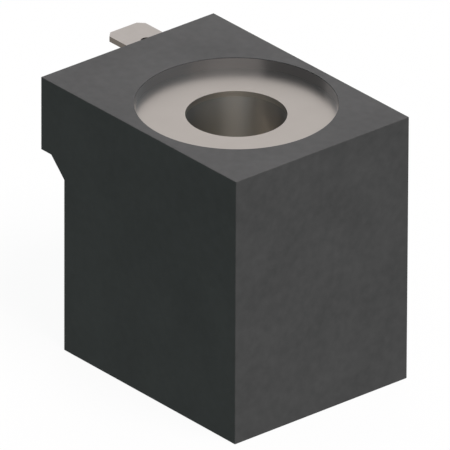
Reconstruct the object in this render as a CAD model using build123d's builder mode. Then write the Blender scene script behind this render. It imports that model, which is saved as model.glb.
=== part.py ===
"""Encapsulated coil for a solenoid valve, with its iron circuit, bobbin, winding and push-on tabs.

The coil slips over the valve's armature tube and is held by a nut in the seat on top.
Z runs up the tube bore, the terminal head points along -X, and the origin is on the
bore's axis in the plane of the underside. The sizes are worked out from the bore outwards,
and come to a body of 35.5 x 30 x 39 mm. All lengths are in millimetres.
"""

import os
from math import sqrt

from build123d import *

# Bore and poles
tube_bore = 13.6
pole_wall = 1.5
upper_pole_reach = 8.0
lower_pole_reach = 9.0

# Bobbin and winding
pole_clearance = 0.1
barrel_wall = 0.9
flange_thickness = 1.2
winding_length = 28.0
winding_build = 3.3
tape_thickness = 0.25
flange_margin = 0.35
tape_gap = 15.0

# Yoke
yoke_thickness = 2.5
yoke_width = 24.0
bend_radius = 0.5
horn_width = 2.6
upright_gap = 0.15

# Skin of the moulding over the iron
side_skin = 1.8
end_skin = 1.4
base_skin = 1.2
edge_break = 0.06

# Seat for the retaining nut
seat_margin = 1.4
seat_depth = 1.6
seat_floor = 0.8
seat_rim = 0.6
seat_lip = 0.1
seat_bevel = 0.4
foot_flange = 1.7

# Terminal head
head_reach = 4.8
head_height = 10.8
head_shelf = 2.1
head_wall = 3.05

# Push-on tabs
tab_width = 6.3
tab_thickness = 0.8
tab_reach = 8.05
tab_chamfer = 0.85
tab_hole = 1.6
tab_hole_from_tip = 4.9
line_rise = 2.0
line_spacing = 9.5
earth_offset = 6.0
earth_foot = 2.0

# Earth rivets
rivet_shank = 1.2
rivet_head = 1.9
rivet_head_height = 0.5
rivet_head_bevel = 0.25
rivet_spacing = 3.4

# Terminal carrier, and the posts that the line tabs are bent to behind it
carrier_gap = 0.2
carrier_floor = 1.3
carrier_set_back = 0.25
tongue_width = 6.0
tongue_bite = 2.0
tail_width = 4.0
post_width = 1.4
post_drop = 2.7
post_bend = 0.7
window_gap = 1.2

# Winding ends
wire_diameter = 0.35
wire_slot = 0.6
wire_set_back = 0.5
start_inset = 0.5
finish_drop = 3.0
sleeve_gap = 0.02
sleeve_wall = 0.18
sleeve_margin = 0.3
solder_skin = 0.3
solder_height = 1.6
solder_bevel = 0.25
chamber_room = 1.0

# Radii of the pieces round the bore
bore_r = tube_bore / 2
pole_r = bore_r + pole_wall
barrel_r = pole_r + pole_clearance + barrel_wall
winding_r = barrel_r + winding_build
tape_r = winding_r + tape_thickness
flange_r = tape_r + flange_margin
foot_r = pole_r + foot_flange

# Heights, from the underside up
yoke_bottom = base_skin
coil_bottom = yoke_bottom + yoke_thickness
winding_bottom = coil_bottom + flange_thickness
winding_top = winding_bottom + winding_length
coil_top = winding_top + flange_thickness
yoke_top = coil_top + yoke_thickness
seat_z = yoke_top + seat_floor
body_height = seat_z + seat_depth
rim_top = body_height - seat_lip
head_bottom = body_height - head_height
gusset_bottom = head_bottom - (head_reach - head_shelf)

# Half lengths and widths of the iron and of the moulding
upright_x = flange_r + bend_radius + upright_gap
yoke_x = upright_x + yoke_thickness
body_x = yoke_x + end_skin
head_x = body_x + head_reach
body_width = 2 * (flange_r + side_skin)
seat_r = body_width / 2 - seat_margin
rim_r = seat_r + seat_rim

# Places of the terminals
tab_tip_x = head_x + tab_reach
line_bottom = head_bottom + line_rise
line_top = line_bottom + tab_thickness
line_y = line_spacing / 2
earth_inner_x = yoke_x - earth_foot
carrier_inner_x = upright_x + carrier_set_back
carrier_outer_x = head_x - head_wall
carrier_bottom = line_bottom - carrier_floor
window_width = yoke_width - 2 * horn_width
carrier_width = window_width - 2 * carrier_gap

# Places of the posts and of the winding ends
post_x = carrier_inner_x - tab_thickness
post_bottom = carrier_bottom - post_drop
window_bottom = post_bottom - window_gap
wire_r = wire_diameter / 2
wire_x = post_x - wire_set_back
slot_x = sqrt(barrel_r**2 - line_y**2)
slot_z = winding_top + wire_r
finish_x = sqrt(winding_r**2 - (line_y - wire_r) ** 2)
finish_z = post_bottom - finish_drop
solder_top = post_bottom + solder_height
solder_inner_x = wire_x - wire_r - solder_skin / 2
sleeve_r = wire_r + sleeve_gap + sleeve_wall

os.makedirs("parts", exist_ok=True)


def save(builder, name):
    """Labels a finished piece and writes it to its own file."""
    builder.part.label = name
    export_step(builder.part, f"parts/{name}.step")


# Upper pole: a steel bush that stands in the yoke plate and reaches down into the bobbin
with BuildPart() as upper_pole:
    with BuildSketch(Plane.XY.offset(coil_top - upper_pole_reach)):
        Circle(pole_r)
        Circle(bore_r, mode=Mode.SUBTRACT)
    extrude(amount=upper_pole_reach + yoke_thickness)
save(upper_pole, "upper_pole")

# Lower pole: a steel bush with a flat foot that lies flush in the underside
with BuildPart() as lower_pole:
    with BuildSketch():
        Circle(foot_r)
    extrude(amount=yoke_bottom)
    with BuildSketch():
        Circle(pole_r)
    extrude(amount=coil_bottom + lower_pole_reach)
    Hole(bore_r)
save(lower_pole, "lower_pole")

# Nut seat: a dish pressed from steel sheet, with its floor on the yoke plate
with BuildPart() as nut_seat:
    with BuildSketch(Plane.XZ):
        with BuildLine():
            Polyline(
                (bore_r, seat_z),
                (bore_r, yoke_top),
                (rim_r - seat_bevel, yoke_top),
                (rim_r, yoke_top + seat_bevel),
                (rim_r, rim_top),
                (seat_r, rim_top),
                (seat_r, seat_z),
                close=True,
            )
        make_face()
    revolve(axis=Axis.Z)
save(nut_seat, "nut_seat")

# Yoke frame: a steel strip bent to a U, with four horns that stand in the plate's corners
with BuildPart() as yoke_frame:
    with BuildSketch(Plane.XZ):
        with BuildLine():
            FilletPolyline(
                (-yoke_x, coil_top),
                (-yoke_x, yoke_bottom),
                (yoke_x, yoke_bottom),
                (yoke_x, coil_top),
                radius=bend_radius + yoke_thickness,
            )
            Line((yoke_x, coil_top), (upright_x, coil_top))
            FilletPolyline(
                (upright_x, coil_top),
                (upright_x, coil_bottom),
                (-upright_x, coil_bottom),
                (-upright_x, coil_top),
                radius=bend_radius,
            )
            Line((-upright_x, coil_top), (-yoke_x, coil_top))
        make_face()
    extrude(amount=yoke_width / 2, both=True)
    with BuildSketch(Plane.XY.offset(coil_top)):
        with GridLocations(2 * yoke_x - yoke_thickness, yoke_width - horn_width, 2, 2):
            Rectangle(yoke_thickness, horn_width)
    extrude(amount=yoke_thickness)
    with BuildSketch(Plane.XY.offset(yoke_bottom)):
        Circle(pole_r)
    extrude(amount=yoke_thickness, mode=Mode.SUBTRACT)
    with BuildSketch(Plane.XY.offset(window_bottom)):
        with Locations((-yoke_x, 0)):
            Rectangle(3 * yoke_thickness, window_width)
    extrude(amount=coil_top - window_bottom, mode=Mode.SUBTRACT)
save(yoke_frame, "yoke_frame")

# Yoke plate: closes the frame, and has a coined step for the foot of the earth tab
rivet_places = [(-yoke_x + earth_foot / 2, earth_offset + side * rivet_spacing / 2) for side in (-1, 1)]
with BuildPart() as yoke_plate:
    with BuildSketch(Plane.XY.offset(coil_top)):
        Rectangle(2 * yoke_x, yoke_width)
        with GridLocations(2 * yoke_x - yoke_thickness, yoke_width - horn_width, 2, 2):
            Rectangle(yoke_thickness, horn_width, mode=Mode.SUBTRACT)
        Circle(pole_r, mode=Mode.SUBTRACT)
        with Locations(*rivet_places):
            Circle(rivet_shank / 2, mode=Mode.SUBTRACT)
    extrude(amount=yoke_thickness)
    with BuildSketch(Plane.XY.offset(yoke_top)):
        with Locations((-yoke_x + earth_foot / 2, earth_offset)):
            Rectangle(earth_foot, tab_width)
    extrude(amount=-tab_thickness, mode=Mode.SUBTRACT)
save(yoke_plate, "yoke_plate")

# Bobbin: a moulded former with two flanges, counterbored from both ends for the poles
with BuildPart() as bobbin:
    with BuildSketch(Plane.XY.offset(coil_bottom)):
        Circle(barrel_r)
    extrude(amount=coil_top - coil_bottom)
    with BuildSketch(Plane.XY.offset(coil_bottom), Plane.XY.offset(winding_top)):
        Circle(flange_r)
    extrude(amount=flange_thickness)
    with Locations(Plane.XY.offset(coil_top)):
        CounterBoreHole(bore_r, pole_r + pole_clearance, upper_pole_reach)
    with Locations(Plane.XY.offset(coil_bottom).rotated((180, 0, 0))):
        CounterBoreHole(bore_r, pole_r + pole_clearance, lower_pole_reach)
    with BuildSketch(Plane.XY.offset(winding_top)):
        with Locations((-flange_r, 0)):
            Rectangle(2 * tongue_bite, tongue_width)
        with Locations((-slot_x, line_y)):
            Rectangle(flange_r, wire_slot, align=(Align.MAX, Align.CENTER))
    extrude(amount=flange_thickness, mode=Mode.SUBTRACT)
save(bobbin, "bobbin")

# Winding: enamelled copper wire, wound to the full length between the flanges
with BuildPart() as winding:
    with BuildSketch(Plane.XY.offset(winding_bottom)):
        Circle(winding_r)
        Circle(barrel_r, mode=Mode.SUBTRACT)
    extrude(amount=winding_length)
save(winding, "winding")

# Tape: one turn of polyester film round the winding, left open where the ends come out
with BuildPart() as winding_tape:
    with BuildSketch(Plane.XY.offset(winding_bottom)):
        Circle(tape_r)
        Circle(winding_r, mode=Mode.SUBTRACT)
        with Locations((-tape_r, 0)):
            Rectangle(tape_r, tape_gap, mode=Mode.SUBTRACT)
    extrude(amount=winding_length)
save(winding_tape, "winding_tape")

# Carrier: a moulded block in the window of the yoke, which holds the two line tabs
with BuildPart() as terminal_carrier:
    with BuildSketch(Plane.XY.offset(carrier_bottom)):
        with Locations((-carrier_inner_x, 0)):
            Rectangle(carrier_outer_x - carrier_inner_x, carrier_width, align=(Align.MAX, Align.CENTER))
    extrude(amount=coil_top - carrier_bottom)
    with BuildSketch(Plane.XY.offset(winding_top)):
        with Locations((-flange_r + tongue_bite, 0)):
            tongue_length = carrier_inner_x - flange_r + tongue_bite
            Rectangle(tongue_length, tongue_width, align=(Align.MAX, Align.CENTER))
    extrude(amount=flange_thickness)
    with BuildSketch(Plane.XY.offset(line_bottom)):
        with Locations((0, -line_y), (0, line_y)):
            Rectangle(head_x, tail_width, align=(Align.MAX, Align.CENTER))
    extrude(amount=tab_thickness, mode=Mode.SUBTRACT)
save(terminal_carrier, "terminal_carrier")


def tab_outline(inner_x, centre_y):
    """Draws a push-on tab from inner_x out to its tip, chamfered and with a latch hole."""
    with BuildSketch(mode=Mode.PRIVATE) as outline:
        with Locations((-inner_x, centre_y)):
            Rectangle(tab_tip_x - inner_x, tab_width, align=(Align.MAX, Align.CENTER))
        chamfer(outline.vertices().group_by(Axis.X)[0], tab_chamfer)
        with Locations((-tab_tip_x + tab_hole_from_tip, centre_y)):
            Circle(tab_hole / 2, mode=Mode.SUBTRACT)
    return outline.sketch


# Earth tab: its foot lies in the step of the yoke plate
with BuildPart() as earth_tab:
    with BuildSketch(Plane.XY.offset(yoke_top)):
        add(tab_outline(earth_inner_x, earth_offset))
        with Locations(*rivet_places):
            Circle(rivet_shank / 2, mode=Mode.SUBTRACT)
    extrude(amount=-tab_thickness)
save(earth_tab, "earth_tab")

# Earth rivets, through the foot of the tab and the yoke plate
with BuildPart() as earth_rivets:
    with BuildSketch(Plane.XY.offset(coil_top)):
        with Locations(*rivet_places):
            Circle(rivet_shank / 2)
    extrude(amount=yoke_thickness)
    with BuildSketch(Plane.XY.offset(yoke_top)):
        with Locations(*rivet_places):
            Circle(rivet_head / 2)
    extrude(amount=rivet_head_height)
    chamfer(earth_rivets.edges().group_by(Axis.Z)[-1], rivet_head_bevel)
save(earth_rivets, "earth_rivets")


def wire_points(end, centre_y):
    """Gives the corners of a winding end's path, from the winding to its post."""
    if end == "start":
        return [
            (-slot_x - start_inset, centre_y, slot_z),
            (-wire_x, centre_y, slot_z),
            (-wire_x, centre_y, post_bottom),
        ]
    return [
        (-finish_x, centre_y, finish_z),
        (-wire_x, centre_y, finish_z),
        (-wire_x, centre_y, solder_top),
    ]


# The two ends of the winding: tab, wire, sleeve and solder joint of each
sleeve_spans = {
    "start": (solder_top + sleeve_margin, slot_z - sleeve_margin),
    "finish": (finish_z + sleeve_margin, post_bottom - solder_skin - sleeve_margin),
}
for end, centre_y in (("start", line_y), ("finish", -line_y)):
    # Tab, with its tail through the carrier and bent down behind it into a post
    with BuildPart() as line_tab:
        with BuildSketch(Plane.XY.offset(line_bottom)):
            add(tab_outline(carrier_outer_x, centre_y))
            with Locations((-carrier_inner_x, centre_y)):
                tail_length = carrier_outer_x - carrier_inner_x
                Rectangle(tail_length, tail_width, align=(Align.MAX, Align.CENTER))
        extrude(amount=tab_thickness)
        with BuildSketch(Plane.XY.offset(post_bottom)):
            with Locations((-post_x, centre_y)):
                Rectangle(tab_thickness, post_width, align=(Align.MAX, Align.CENTER))
        extrude(amount=line_top - post_bottom)
        outer_bend = line_tab.edges().filter_by(Axis.Y).group_by(Axis.Z)[-1].sort_by(Axis.X)[-1]
        fillet(outer_bend, post_bend)
    save(line_tab, f"{end}_tab")

    # Wire, from the winding to the post
    with BuildPart() as lead:
        with BuildLine() as route:
            Polyline(*wire_points(end, centre_y))
        with BuildSketch(Plane(origin=route.line @ 0, z_dir=route.line % 0)):
            Circle(wire_r)
        sweep(transition=Transition.RIGHT)
    save(lead, f"{end}_lead")

    # Sleeve, over the straight stretch of the wire
    sleeve_bottom, sleeve_top = sleeve_spans[end]
    with BuildPart() as sleeve:
        with BuildSketch(Plane.XY.offset(sleeve_bottom)):
            with Locations((-wire_x, centre_y)):
                Circle(sleeve_r)
                Circle(wire_r + sleeve_gap, mode=Mode.SUBTRACT)
        extrude(amount=sleeve_top - sleeve_bottom)
    save(sleeve, f"{end}_sleeve")

    # Solder joint, round the foot of the post and the wire beside it
    with BuildPart() as solder:
        with BuildSketch(Plane.XY.offset(post_bottom - solder_skin)):
            with Locations((-solder_inner_x, centre_y)):
                solder_length = carrier_inner_x + solder_skin - solder_inner_x
                solder_width = post_width + 2 * solder_skin
                Rectangle(solder_length, solder_width, align=(Align.MAX, Align.CENTER))
        extrude(amount=solder_height + solder_skin)
        chamfer(solder.edges(), solder_bevel)
        add(line_tab.part, mode=Mode.SUBTRACT)
        add(lead.part, mode=Mode.SUBTRACT)
    save(solder, f"{end}_solder")

# Housing: moulded in one shot round all the rest
with BuildPart() as housing:
    with BuildSketch(Plane.XZ):
        with BuildLine():
            Polyline(
                (body_x, 0),
                (body_x, body_height),
                (-head_x, body_height),
                (-head_x, head_bottom),
                (-head_x + head_shelf, head_bottom),
                (-body_x, gusset_bottom),
                (-body_x, 0),
                close=True,
            )
        make_face()
    extrude(amount=body_width / 2, both=True)
    chamfer(housing.edges(), edge_break)

    # Openings for the foot of the lower pole and for the nut seat
    with BuildSketch():
        Circle(foot_r)
    extrude(amount=yoke_bottom, mode=Mode.SUBTRACT)
    with BuildSketch(Plane.XY.offset(yoke_top)):
        Circle(rim_r)
    extrude(amount=rim_top - yoke_top, mode=Mode.SUBTRACT)
    with BuildSketch(Plane.XY.offset(rim_top)):
        Circle(seat_r)
    extrude(amount=seat_lip, mode=Mode.SUBTRACT)

    # Space of the bobbin and its winding
    with BuildSketch(Plane.XY.offset(coil_bottom)):
        Circle(flange_r)
    extrude(amount=coil_top - coil_bottom, mode=Mode.SUBTRACT)

    # Space of the iron, and of the rivet heads over it
    with BuildSketch(Plane.XY.offset(coil_top)):
        Rectangle(2 * yoke_x, yoke_width)
    extrude(amount=yoke_thickness, mode=Mode.SUBTRACT)
    add(yoke_frame.part, mode=Mode.SUBTRACT)
    with BuildSketch(Plane.XY.offset(yoke_bottom)):
        Circle(pole_r)
    extrude(amount=yoke_thickness, mode=Mode.SUBTRACT)
    with BuildSketch(Plane.XY.offset(yoke_top)):
        with Locations(*rivet_places):
            Circle(rivet_head / 2)
    extrude(amount=rivet_head_height, mode=Mode.SUBTRACT)

    # Space of the carrier, and of the posts and wires behind and under it
    with BuildSketch(Plane.XY.offset(carrier_bottom)):
        with Locations((-upright_x, 0)):
            Rectangle(carrier_outer_x - upright_x, carrier_width, align=(Align.MAX, Align.CENTER))
    extrude(amount=coil_top - carrier_bottom, mode=Mode.SUBTRACT)
    with BuildSketch(Plane.XY.offset(finish_z - chamber_room)):
        Rectangle(upright_x, carrier_width, align=(Align.MAX, Align.CENTER))
    extrude(amount=coil_top - finish_z + chamber_room, mode=Mode.SUBTRACT)
    with BuildSketch(Plane.XY.offset(window_bottom)):
        with Locations((-upright_x, 0)):
            Rectangle(yoke_thickness, carrier_width, align=(Align.MAX, Align.CENTER))
    extrude(amount=carrier_bottom - window_bottom, mode=Mode.SUBTRACT)

    # Slots where the tabs come out
    with BuildSketch(Plane.XY.offset(line_bottom)):
        with Locations((-carrier_outer_x, -line_y), (-carrier_outer_x, line_y)):
            Rectangle(head_x, tab_width, align=(Align.MAX, Align.CENTER))
    extrude(amount=tab_thickness, mode=Mode.SUBTRACT)
    with BuildSketch(Plane.XY.offset(yoke_top)):
        with Locations((-earth_inner_x, earth_offset)):
            Rectangle(head_x, tab_width, align=(Align.MAX, Align.CENTER))
    extrude(amount=-tab_thickness, mode=Mode.SUBTRACT)
save(housing, "housing")

print(f"body {2 * body_x:.2f} x {body_width:.2f} x {body_height:.2f} mm")
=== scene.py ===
# %% [markdown]
# # A solenoid valve coil, dressed for the studio
# The coil is a black moulded block that slips over the armature tube of a valve. A bright
# steel dish in its top takes the retaining nut, the bore goes right through, and flat push-on
# tabs stand out of the stepped head at one end. The solids come from the CAD model and keep
# their places. This script gives them their surfaces, winds the wire turn by turn, and sets
# the camera and the light.

# %% Load the frame
from math import cos, pi, radians, sin

import bpy
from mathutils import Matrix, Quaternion, Vector


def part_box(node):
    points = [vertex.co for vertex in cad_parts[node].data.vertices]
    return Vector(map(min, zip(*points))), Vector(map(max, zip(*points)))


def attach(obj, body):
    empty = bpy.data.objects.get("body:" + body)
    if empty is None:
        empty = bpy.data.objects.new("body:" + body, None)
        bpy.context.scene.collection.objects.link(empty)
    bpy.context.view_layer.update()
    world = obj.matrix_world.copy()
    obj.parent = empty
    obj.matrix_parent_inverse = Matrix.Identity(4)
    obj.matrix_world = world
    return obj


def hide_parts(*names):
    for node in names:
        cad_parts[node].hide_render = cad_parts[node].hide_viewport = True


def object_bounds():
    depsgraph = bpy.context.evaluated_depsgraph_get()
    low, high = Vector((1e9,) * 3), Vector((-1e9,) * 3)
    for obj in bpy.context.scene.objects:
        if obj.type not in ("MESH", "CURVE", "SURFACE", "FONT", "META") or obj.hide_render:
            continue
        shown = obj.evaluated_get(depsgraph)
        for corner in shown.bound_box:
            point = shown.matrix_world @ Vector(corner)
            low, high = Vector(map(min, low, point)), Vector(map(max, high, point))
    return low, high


MM = 0.001
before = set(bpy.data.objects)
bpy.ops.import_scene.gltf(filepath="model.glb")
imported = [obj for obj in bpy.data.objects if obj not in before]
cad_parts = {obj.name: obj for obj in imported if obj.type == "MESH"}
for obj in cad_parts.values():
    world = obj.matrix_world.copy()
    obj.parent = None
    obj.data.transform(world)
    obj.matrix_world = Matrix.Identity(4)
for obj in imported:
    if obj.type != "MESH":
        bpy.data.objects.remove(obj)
cad_low, cad_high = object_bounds()


def in_mm(lengths):
    return [round(length / MM, 2) for length in lengths]


def placed(name, data):
    """Puts a mesh, a lamp or a lens into the scene as an object."""
    made = bpy.data.objects.new(name, data)
    bpy.context.scene.collection.objects.link(made)
    return made


print("CAD box in mm:", in_mm((*cad_low, *cad_high)))

# %% [markdown]
# ## The camera
# The picture shows no perspective: edges that are parallel on the block are parallel in it. An
# orthographic camera would do that, but it keeps one scale for every other view and cuts off
# corners. A 1600 mm lens, 2.7 metres away, looks nearly the same and fits all views. The two
# angles, the roll and the scale come from the corners of the block: they were fitted until the
# outline fell within half a pixel of its place on average, and 1.3 pixels at the worst corner.

# %% Where the camera stands
PICTURE_SIDE = 450
SENSOR = 36.0
LENS = 1600.0
AZIMUTH, ELEVATION, ROLL = 49.82, 26.98, 0.24
PIXELS_PER_MM = 7.506
HOUSING_CENTRE_IN_PICTURE = Vector((224.17, 227.72))

housing_low, housing_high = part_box("housing")
housing_centre = (housing_low + housing_high) / 2
turn, tilt = radians(AZIMUTH), radians(ELEVATION)
backward = Vector((sin(turn) * cos(tilt), -cos(turn) * cos(tilt), sin(tilt)))
rightward = Vector((cos(turn), sin(turn), 0))
upward = backward.cross(rightward)
distance = LENS / SENSOR * PICTURE_SIDE / PIXELS_PER_MM * MM
picture_middle = Vector((PICTURE_SIDE, PICTURE_SIDE)) / 2
off_centre = (HOUSING_CENTRE_IN_PICTURE - picture_middle) / PIXELS_PER_MM * MM
aim = housing_centre - rightward * off_centre.x + upward * off_centre.y
print(f"camera {distance:.3f} m away, aimed at {in_mm(aim)} mm")

# %% Camera
lens = bpy.data.cameras.new("camera")
lens.lens = LENS
lens.sensor_width = SENSOR
lens.clip_start = distance / 10
lens.clip_end = distance * 10
camera = placed("camera", lens)
camera.rotation_mode = "QUATERNION"
camera.location = aim + backward * distance
level_gaze = (-backward).to_track_quat("-Z", "Y")
camera.rotation_quaternion = level_gaze @ Quaternion((0, 0, 1), radians(ROLL))
bpy.context.scene.camera = camera
bpy.context.scene.view_settings.view_transform = "Standard"
print(f"lens {lens.lens:.0f} mm, roll {ROLL} degrees")

# %% [markdown]
# ## Networks written as sums
# A material is a network of nodes, and a network written node by node is hard to read. This
# class wraps a socket that carries one number, so that an ordinary sum on it adds the Math
# nodes. The reflected forms let a plain number stand first, as in 1 - mask.

# %% Signal
class Signal:
    """A socket that carries one number and can be used in sums."""

    def __init__(self, tree, socket):
        self.tree = tree
        self.socket = socket

    def maths(self, operation, first, second=0.0):
        node = self.tree.node("ShaderNodeMath", {"operation": operation}, {0: first, 1: second})
        return Signal(self.tree, node.outputs[0])

    def __add__(self, other):
        return self.maths("ADD", self, other)

    def __radd__(self, other):
        return self.maths("ADD", other, self)

    def __sub__(self, other):
        return self.maths("SUBTRACT", self, other)

    def __rsub__(self, other):
        return self.maths("SUBTRACT", other, self)

    def __mul__(self, other):
        return self.maths("MULTIPLY", self, other)

    def __rmul__(self, other):
        return self.maths("MULTIPLY", other, self)

    def __truediv__(self, other):
        return self.maths("DIVIDE", self, other)

    def __rtruediv__(self, other):
        return self.maths("DIVIDE", other, self)

    def root(self):
        return self.maths("SQRT", self)

    def size(self):
        return self.maths("ABSOLUTE", self)

    def above(self, level):
        return self.maths("GREATER_THAN", self, level)

    def larger(self, other):
        return self.maths("MAXIMUM", self, other)


print("signals can be added, subtracted, multiplied and divided")

# %% [markdown]
# The next class wraps a whole tree, whether of a material, of the world or of Geometry Nodes.
# One method adds any node: it takes the node's type, its settings and what feeds its sockets.

# %% Tree
class Tree:
    """A node tree, with one method that adds a node, sets it up and links it."""

    def __init__(self, nodes_and_links):
        self.tree = nodes_and_links

    def node(self, kind, settings=None, sockets=None):
        made = self.tree.nodes.new(kind)
        for name, value in (settings or {}).items():
            setattr(made, name, value)
        for key, value in (sockets or {}).items():
            self.feed(made.inputs[key], value)
        return made

    def feed(self, socket, value):
        if isinstance(value, Signal):
            value = value.socket
        if isinstance(value, bpy.types.NodeSocket):
            self.tree.links.new(value, socket)
        else:
            socket.default_value = value

    def blend(self, amount, first, second):
        """Mixes two colours, each a triple or the socket of an earlier blend."""
        ends = {"A": first, "B": second}
        node = self.node("ShaderNodeMix", {"data_type": "RGBA"}, {"Factor": amount})
        for socket in node.inputs:
            if socket.type == "RGBA":
                value = ends[socket.name]
                self.feed(socket, (*value, 1.0) if isinstance(value, tuple) else value)
        return next(socket for socket in node.outputs if socket.type == "RGBA")


print("trees take any node")

# %% [markdown]
# A finish is a tree that starts from the Principled shader. It knows the place on the piece in
# millimetres, so that the size of a grain or a mottle is written as it would be measured. Only
# colour, roughness and relief change over a surface here. All else is set on the shader. Some
# finishes tell level faces from upright ones: a face counts as level when the Z part of its
# normal is above 0.7, which is a slope of up to 45 degrees.

# %% Finish
LEVEL_FROM = 0.7


class Finish(Tree):
    """A material in the making, with its Principled shader and the place on the piece in mm."""

    def __init__(self, name, metallic=0.0, **fixed):
        self.material = bpy.data.materials.new(name)
        self.material.use_nodes = True
        super().__init__(self.material.node_tree)
        self.shader = self.tree.nodes["Principled BSDF"]
        self.set_up({"Metallic": metallic})
        self.set_up({key.replace("_", " "): value for key, value in fixed.items()})
        place = self.node("ShaderNodeTexCoord").outputs["Object"]
        to_mm = {0: place, "Scale": 1 / MM}
        self.place = self.node("ShaderNodeVectorMath", {"operation": "SCALE"}, to_mm).outputs[0]

    def set_up(self, values):
        for name, value in values.items():
            self.feed(self.shader.inputs[name], value)

    def parts(self, vector):
        node = self.node("ShaderNodeSeparateXYZ", None, {0: vector})
        return [Signal(self, output) for output in node.outputs]

    def level_faces(self):
        """A signal that is 1 on faces that look up or down, and 0 on upright ones."""
        normal = self.node("ShaderNodeNewGeometry").outputs["Normal"]
        return self.parts(normal)[2].size().above(LEVEL_FROM)

    def noise(self, size_mm, detail=2.0, place=None):
        """Cloudy noise from 0 to 1, with clouds about size_mm across."""
        values = {"Vector": place or self.place, "Scale": 1 / size_mm, "Detail": detail}
        return Signal(self, self.node("ShaderNodeTexNoise", None, values).outputs[0])

    def emboss(self, height, depth_mm):
        """Turns a signal into relief, with depth_mm between its 0 and its 1."""
        bump = self.node("ShaderNodeBump", None, {"Height": height, "Distance": depth_mm * MM})
        self.set_up({"Normal": bump.outputs[0]})


def coat(finish, *nodes):
    """Puts a finish on the CAD nodes named."""
    for name in nodes:
        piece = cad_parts[name]
        piece.data.materials.clear()
        piece.data.materials.append(finish.material)
    print(f"{finish.material.name} on {', '.join(nodes)}")


print(f"{len(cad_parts)} CAD nodes to coat")

# %% [markdown]
# ## Moulded housing
# The block is moulded round the coil in a black, glass-filled plastic. Such a plastic is never
# quite one colour: fibres near the surface make a faint mottle of a millimetre or so, and the
# flow of the melt a cloudier one. Both are small, so the noise moves the colour and the
# roughness only a little, and a shallow relief breaks up the sheen on the broad faces.

# %% Housing plastic
def housing_plastic():
    plastic = Finish("black_moulding", Specular_IOR_Level=0.06)
    mottle = plastic.noise(size_mm=1.3, detail=3.0)
    flow = plastic.noise(size_mm=9.0, detail=1.0)
    grain = plastic.noise(size_mm=0.16)
    shade = mottle * 0.6 + flow * 0.4
    relief = grain * 0.6 + mottle * 0.4
    dark, light = (0.050, 0.051, 0.051), (0.108, 0.108, 0.108)
    smoothest, spread = 0.52, 0.2
    plastic.set_up({
        "Base Color": plastic.blend(shade, dark, light),
        "Roughness": smoothest + spread * mottle,
    })
    plastic.emboss(relief, depth_mm=0.012)
    return plastic


coat(housing_plastic(), "housing")

# %% [markdown]
# ## Steel with rings
# The dish and the poles are round, and what shapes and rubs them turns round the same axis. So
# both keep very fine rings, which show as faint noise. The noise is read along the profile of
# the piece: on a floor the radius changes and on a wall the height, so their sum runs along
# both.

# %% Ringed steel
RING_PITCH = 0.25


class RingedFinish(Finish):
    """Steel with fine rings round the Z axis, which are read along the profile of the piece."""

    def __init__(self, name, **fixed):
        super().__init__(name, metallic=1.0, **fixed)
        x, y, z = self.parts(self.place)
        self.radius = (x * x + y * y).root()
        along_profile = (self.radius + z) / RING_PITCH
        turned = {0: along_profile, 1: x / self.radius, 2: y / self.radius}
        profile = self.node("ShaderNodeCombineXYZ", None, turned).outputs[0]
        self.rings = self.noise(size_mm=1.0, detail=3.0, place=profile)
        self.clouds = self.noise(size_mm=4.0)
        self.emboss(self.rings, depth_mm=0.001)


print(f"rings every {RING_PITCH} mm")

# %% [markdown]
# ## Pressed steel of the dish
# The dish is pressed from sheet and plated. Washers rub the floor satin. The upright wall,
# which nothing touches, stays brighter, so the roughness depends on the way a face looks. The
# wall of the hole in the floor is reamed with the poles, and its colour is nearly white: partly
# the reamed finish, partly painted light that makes the bore look lit. It is told from the
# wall of the dish by its smaller radius.

# %% Pressed steel
HOLE_WITHIN = 7.0


def pressed_steel():
    steel = RingedFinish("pressed_steel")
    on_floor = steel.level_faces()
    in_hole = (1 - on_floor) * (1 - steel.radius.above(HOLE_WITHIN))
    shade = steel.clouds * 0.7 + steel.rings * 0.3
    # The hole wall's nearly white colour is partly its reamed finish, partly painted light that
    # brightens the bore.
    dark, light, reamed_with_painted_light = (0.44, 0.395, 0.365), (0.50, 0.455, 0.42), (0.95, 0.91, 0.85)
    bright, rubbed, ringed = 0.09, 0.225, 0.06
    steel.set_up({
        "Base Color": steel.blend(in_hole, steel.blend(shade, dark, light), reamed_with_painted_light),
        "Roughness": bright + rubbed * (on_floor + in_hole) + ringed * steel.rings,
    })
    return steel


coat(pressed_steel(), "nut_seat")

# %% [markdown]
# ## Turned steel of the poles
# The poles that line the bore are turned, so their rings are sharper. Such rings scatter light
# across themselves and hardly along themselves, which draws each reflection out into upright
# streaks. The shader has a value for this, Anisotropic, and a rotation of a quarter turn lays
# the streaks across the rings.

# %% Turned steel
def turned_steel():
    steel = RingedFinish("turned_steel", Anisotropic=0.9, Anisotropic_Rotation=0.25)
    dark, light = (0.575, 0.532, 0.484), (0.645, 0.602, 0.554)
    smoothest, spread = 0.33, 0.08
    steel.set_up({
        "Base Color": steel.blend(steel.clouds, dark, light),
        "Roughness": smoothest + spread * steel.rings,
    })
    return steel


coat(turned_steel(), "upper_pole", "lower_pole")

# %% [markdown]
# ## Tinned tabs
# The tabs are stamped from tinned strip: their broad faces keep the tin, with fine lines along
# the strip. Their cut edges, the upright faces, get a much darker colour, which is painted
# shade. The direction in which a face looks tells the two apart. The strip lies along X, so
# noise that is drawn out along X makes the lines.

# %% Tab metal
DRAWN_OUT = (0.03, 1, 1)


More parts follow.
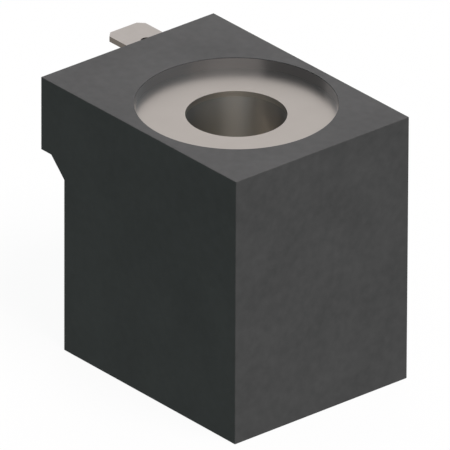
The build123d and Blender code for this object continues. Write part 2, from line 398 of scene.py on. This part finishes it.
def tab_metal():
    metal = Finish("tinned_strip", metallic=1.0)
    strip = metal.node("ShaderNodeMapping", None, {"Vector": metal.place, "Scale": DRAWN_OUT})
    lines = metal.noise(size_mm=0.18, place=strip.outputs[0])
    clouds = metal.noise(size_mm=2.0)
    # Upright faces take this dark colour: painted shade on the edges of the tab.
    cut_edge_painted_shade = (0.155, 0.135, 0.115)
    dark, light = (0.445, 0.405, 0.375), (0.500, 0.455, 0.430)
    smoothest, spread = 0.27, 0.14
    metal.set_up({
        "Base Color": metal.blend(metal.level_faces(), cut_edge_painted_shade, metal.blend(clouds, dark, light)),
        "Roughness": smoothest + spread * lines,
    })
    metal.emboss(lines, depth_mm=0.002)
    return metal


coat(tab_metal(), "start_tab", "finish_tab", "earth_tab")

# %% [markdown]
# ## Pieces inside the moulding
# Nothing of these shows while the block is whole, but the model can be taken apart, so each
# has its own finish: zinc on the yoke and the rivets, natural nylon for the bobbin, a darker
# grade for the carrier, amber film for the tape, woven sleeves on the leads, bright solder on
# the posts, and copper-coloured enamel on the wire. All are one kind of finish, which wanders
# between a dark and a light shade in clouds, with a grain that is much finer than the clouds.

# %% Inner finishes
GRAINS_PER_CLOUD = 8
ROUGHNESS_SPAN = 0.12


def clouded(name, metallic, roughness, dark, light, size_mm, depth_mm):
    """A finish that wanders between two colours, with a fine relief."""
    finish = Finish(name, metallic)
    clouds = finish.noise(size_mm, detail=3.0)
    grain = finish.noise(size_mm / GRAINS_PER_CLOUD)
    finish.set_up({
        "Base Color": finish.blend(clouds, dark, light),
        "Roughness": roughness - ROUGHNESS_SPAN / 2 + ROUGHNESS_SPAN * grain,
    })
    finish.emboss(grain, depth_mm)
    return finish


# Name, metallic, roughness, dark shade, light shade, size of the clouds, depth of the relief
zinc = clouded("yoke_zinc", 1.0, 0.40, (0.42, 0.43, 0.44), (0.55, 0.56, 0.57), 1.6, 0.004)
nylon = clouded("bobbin_nylon", 0.0, 0.48, (0.62, 0.58, 0.48), (0.70, 0.66, 0.56), 4.0, 0.006)
dark_nylon = clouded(
    "carrier_nylon", 0.0, 0.55, (0.03, 0.03, 0.032), (0.05, 0.05, 0.052), 3.0, 0.006)
film = clouded("amber_film", 0.0, 0.22, (0.55, 0.33, 0.05), (0.68, 0.44, 0.09), 6.0, 0.002)
weave = clouded("sleeve_weave", 0.0, 0.60, (0.60, 0.58, 0.52), (0.75, 0.73, 0.67), 0.4, 0.010)
solder = clouded("bright_solder", 1.0, 0.24, (0.55, 0.55, 0.57), (0.66, 0.66, 0.68), 0.5, 0.006)
enamel = clouded(
    "enamelled_copper", 1.0, 0.26, (0.50, 0.17, 0.06), (0.66, 0.27, 0.11), 1.2, 0.002)
coat(zinc, "yoke_frame", "yoke_plate", "earth_rivets")
coat(nylon, "bobbin")
coat(dark_nylon, "terminal_carrier")
coat(film, "winding_tape")
coat(weave, "start_sleeve", "finish_sleeve")
coat(solder, "start_solder", "finish_solder")
coat(enamel, "winding", "start_lead", "finish_lead")

# %% [markdown]
# ## The winding, turn by turn
# A coil is wound in layers, with the turns of each layer side by side. The solid in the CAD
# model is a plain ring. Only the outermost layer can ever be seen, and it is one helix with a
# pitch of one wire. That is a rule, so Geometry Nodes make it: a spiral of constant radius is
# swept with the round section of the wire. A ring with a rectangular section stands for the
# layers below, and ends where the turns touch each other.

# %% A tree that winds wire
WINDING_SIZES = ("Wire", "Inner Radius", "Outer Radius", "Bottom", "Top")
STEPS_PER_TURN = 40
WIRE_SIDES = 8
RING_STEPS = 80


def winding_tree():
    """Makes a tree that winds one layer of wire round a solid ring."""
    group = bpy.data.node_groups.new("wire_layer", "GeometryNodeTree")
    for name in WINDING_SIZES:
        group.interface.new_socket(name, in_out="INPUT", socket_type="NodeSocketFloat")
    group.interface.new_socket("Finish", in_out="INPUT", socket_type="NodeSocketMaterial")
    group.interface.new_socket("Winding", in_out="OUTPUT", socket_type="NodeSocketGeometry")
    tree = Tree(group)
    given = tree.node("NodeGroupInput").outputs
    wire, inner, outer, bottom, top = [Signal(tree, given[name]) for name in WINDING_SIZES]
    middle_radius = outer - wire * 0.5
    length = top - bottom

    def circle(resolution, radius):
        values = {"Resolution": resolution, "Radius": radius}
        return tree.node("GeometryNodeCurvePrimitiveCircle", None, values).outputs[0]

    def sweep(path, section, caps):
        values = {"Curve": path, "Profile Curve": section, "Fill Caps": caps}
        return tree.node("GeometryNodeCurveToMesh", None, values).outputs[0]

    def lifted(shape, height):
        up = tree.node("ShaderNodeCombineXYZ", None, {2: height}).outputs[0]
        values = {"Geometry": shape, "Translation": up}
        return tree.node("GeometryNodeTransform", None, values).outputs[0]

    helix = tree.node("GeometryNodeCurveSpiral", None, {
        "Resolution": STEPS_PER_TURN,
        "Rotations": length / wire - 1,
        "Start Radius": middle_radius,
        "End Radius": middle_radius,
        "Height": length - wire,
    }).outputs[0]
    turns = sweep(helix, circle(WIRE_SIDES, wire * 0.5), True)
    smooth = tree.node("GeometryNodeSetShadeSmooth", None, {0: turns}).outputs[0]

    wall = tree.node("GeometryNodeCurvePrimitiveQuadrilateral", None, {
        "Width": middle_radius - inner,
        "Height": length,
    }).outputs[0]
    ring = sweep(circle(RING_STEPS, (inner + middle_radius) * 0.5), wall, False)

    both = tree.node("GeometryNodeJoinGeometry", None, {0: lifted(smooth, bottom + wire * 0.5)})
    tree.feed(both.inputs[0], lifted(ring, (bottom + top) * 0.5))
    real = tree.node("GeometryNodeRealizeInstances", None, {0: both.outputs[0]})
    material = {0: real.outputs[0], "Material": given["Finish"]}
    coated = tree.node("GeometryNodeSetMaterial", None, material)
    tree.node("NodeGroupOutput", None, {0: coated.outputs[0]})
    return group


wire_layer = winding_tree()
print(f"tree {wire_layer.name}: {len(wire_layer.nodes)} nodes")

# %% [markdown]
# The tree works as a modifier on an empty mesh. Its inputs are set by their identifiers, since
# the names are only labels. The evaluated result is kept as a plain mesh, which needs the tree
# no more, and the modifier is taken off.

# %% Wind the wire
WIRE = 0.35 * MM
BARREL_RADIUS = 9.3 * MM
winding_low, winding_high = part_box("winding")
sizes = {
    "Wire": WIRE,
    "Inner Radius": BARREL_RADIUS,
    "Outer Radius": winding_high.x,
    "Bottom": winding_low.z,
    "Top": winding_high.z,
    "Finish": enamel.material,
}
wire_turns = placed("wire_turns", bpy.data.meshes.new("wire_turns_start"))
winder = wire_turns.modifiers.new("winder", "NODES")
winder.node_group = wire_layer
for item in wire_layer.interface.items_tree:
    if item.in_out == "INPUT":
        winder[item.identifier] = sizes[item.name]
evaluated = wire_turns.evaluated_get(bpy.context.evaluated_depsgraph_get())
wound = bpy.data.meshes.new_from_object(evaluated)
wire_turns.modifiers.clear()
wire_turns.data = wound
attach(wire_turns, "root")
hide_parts("winding")
print(f"wire_turns: {len(wound.polygons)} faces, {in_mm(wire_turns.dimensions)} mm")

# %% [markdown]
# ## Studio
# The background is pure white without more light on the block: the world is white only to
# camera, glossy and transmission rays, and dim to the diffuse ones. The dim light is a little
# green, as daylight off a painted wall is.

# %% World
AMBIENT = 0.26
AMBIENT_TINT = (0.852, 1.032, 0.98)
WHITE = (1.0, 1.0, 1.0)


def seen_rays(tree):
    """A signal that is 1 for what the camera sees, also by reflection or through glass."""
    rays = tree.node("ShaderNodeLightPath").outputs
    seen = Signal(tree, rays["Is Camera Ray"]).larger(Signal(tree, rays["Is Glossy Ray"]))
    return seen.larger(Signal(tree, rays["Is Transmission Ray"]))


world = bpy.data.worlds.new("world")
bpy.context.scene.world = world
world.use_nodes = True
sky = Tree(world.node_tree)
seen = seen_rays(sky)
background = sky.tree.nodes["Background"].inputs
sky.feed(background["Strength"], AMBIENT + (1 - AMBIENT) * seen)
sky.feed(background["Color"], sky.blend(seen, AMBIENT_TINT, WHITE))
print(f"world: 1.0 where it is seen, {AMBIENT} as light")

# %% [markdown]
# A soft key lamp stands high on the side of the plain end face, which makes the top the
# lightest face and leaves the long side dark. It is warm enough to turn the green of the dim
# light into a neutral grey on the faces that it reaches. A weaker lamp behind lights the faces
# that this camera doesn't see.

# %% Lamps
def lamp(name, direction, level, spread, tint):
    """A sun from a direction, as strong as the level that a white surface facing it shows."""
    light = bpy.data.lights.new(name, "SUN")
    light.energy = level * pi
    light.angle = radians(spread)
    light.color = tint
    holder = placed(name, light)
    holder.rotation_mode = "QUATERNION"
    holder.rotation_quaternion = Vector(direction).to_track_quat("Z", "Y")
    holder.visible_glossy = False
    print(f"lamp {name}: level {level}")


lamp("key", (0.515, 0.05, 0.86), level=1.03, spread=30, tint=(1.0, 0.905, 0.925))
lamp("rear", (-0.65, 0.60, 0.45), level=0.35, spread=40, tint=WHITE)

# %% [markdown]
# Bright metal is only as dark as what it reflects. In an all-white studio the wall of the dish
# would vanish, so grey cards hang round the block, as a photographer would hang them. They
# show only in reflections. The wall of the dish mirrors them by azimuth: the edge between the
# dark card and the front one is the sharp upright edge on the right half of the wall. The side
# card softens the step from the front card to the right one, and the left card ends the dark
# part.

# %% Cards
CARD_REACH = 0.5
CARD_LOW, CARD_HIGH = radians(-2.0), radians(62.0)
CARD_STEP = 3
BLACK = (0.0, 0.0, 0.0, 1.0)
COOL, PALE_COOL = (0.83, 1.0, 1.16, 1.0), (0.88, 1.0, 1.12, 1.0)


def card(name, start, end, level, tint):
    """A curved grey card that only reflections see, from one azimuth to another in degrees."""
    steps = round((end - start) / CARD_STEP)
    top_of_block = Vector((0, 0, housing_high.z))
    corners = []
    for i in range(steps + 1):
        angle = radians(start + (end - start) * i / steps)
        for height in (CARD_LOW, CARD_HIGH):
            outward = Vector((cos(angle) * cos(height), sin(angle) * cos(height), sin(height)))
            corners.append(outward * CARD_REACH + top_of_block)
    strips = [(2 * i, 2 * i + 2, 2 * i + 3, 2 * i + 1) for i in range(steps)]
    mesh = bpy.data.meshes.new(name)
    mesh.from_pydata(corners, [], strips)
    paint = Finish(name, Specular_IOR_Level=0.0, Emission_Strength=level, Emission_Color=tint)
    paint.set_up({"Base Color": BLACK})
    mesh.materials.append(paint.material)
    panel = placed(name, mesh)
    panel.visible_camera = False
    panel.visible_diffuse = False
    panel.visible_shadow = False
    panel.visible_transmission = False
    print(f"{name}: azimuth {start} to {end}, level {level}")


# Name, first azimuth, last azimuth, level, tint
card("card_left", 158, 198, 0.50, PALE_COOL)
card("card_dark", 198, 289.5, 0.21, COOL)
card("card_front", 289.5, 352, 0.66, PALE_COOL)
card("card_side", 352, 373, 0.54, PALE_COOL)
card("card_right", 373, 480, 0.43, COOL)

# %% [markdown]
# The floor is a sheet of pale paper. To the camera it is nearly all plain white, mixed with a
# little of the real paper, so that the block's shadow stays on it as a faint tone. It lies a
# hair under the block, so that the two never share one plane.

# %% Floor
FLOOR_SIDE = 1.2
FLOOR_GAP = 0.02 * MM
PAPER = (0.8, 0.8, 0.8, 1.0)
WHITE_SHARE = 0.94
half = FLOOR_SIDE / 2
floor_mesh = bpy.data.meshes.new("floor")
floor_corners = [(-half, -half, 0), (half, -half, 0), (half, half, 0), (-half, half, 0)]
floor_mesh.from_pydata(floor_corners, [], [(0, 1, 2, 3)])
floor = placed("floor", floor_mesh)
floor.location.z = cad_low.z - FLOOR_GAP
floor.visible_diffuse = False
paper = bpy.data.materials.new("floor_paper")
paper.use_nodes = True
paper.node_tree.nodes.clear()
tree = Tree(paper.node_tree)
matt = tree.node("ShaderNodeBsdfDiffuse", None, {"Color": PAPER})
white = tree.node("ShaderNodeEmission")
share = WHITE_SHARE * seen_rays(tree)
mixed = tree.node("ShaderNodeMixShader", None, {0: share, 1: matt.outputs[0], 2: white.outputs[0]})
tree.node("ShaderNodeOutputMaterial", None, {"Surface": mixed.outputs[0]})
floor_mesh.materials.append(paper)
print(f"floor {FLOOR_SIDE} m square")
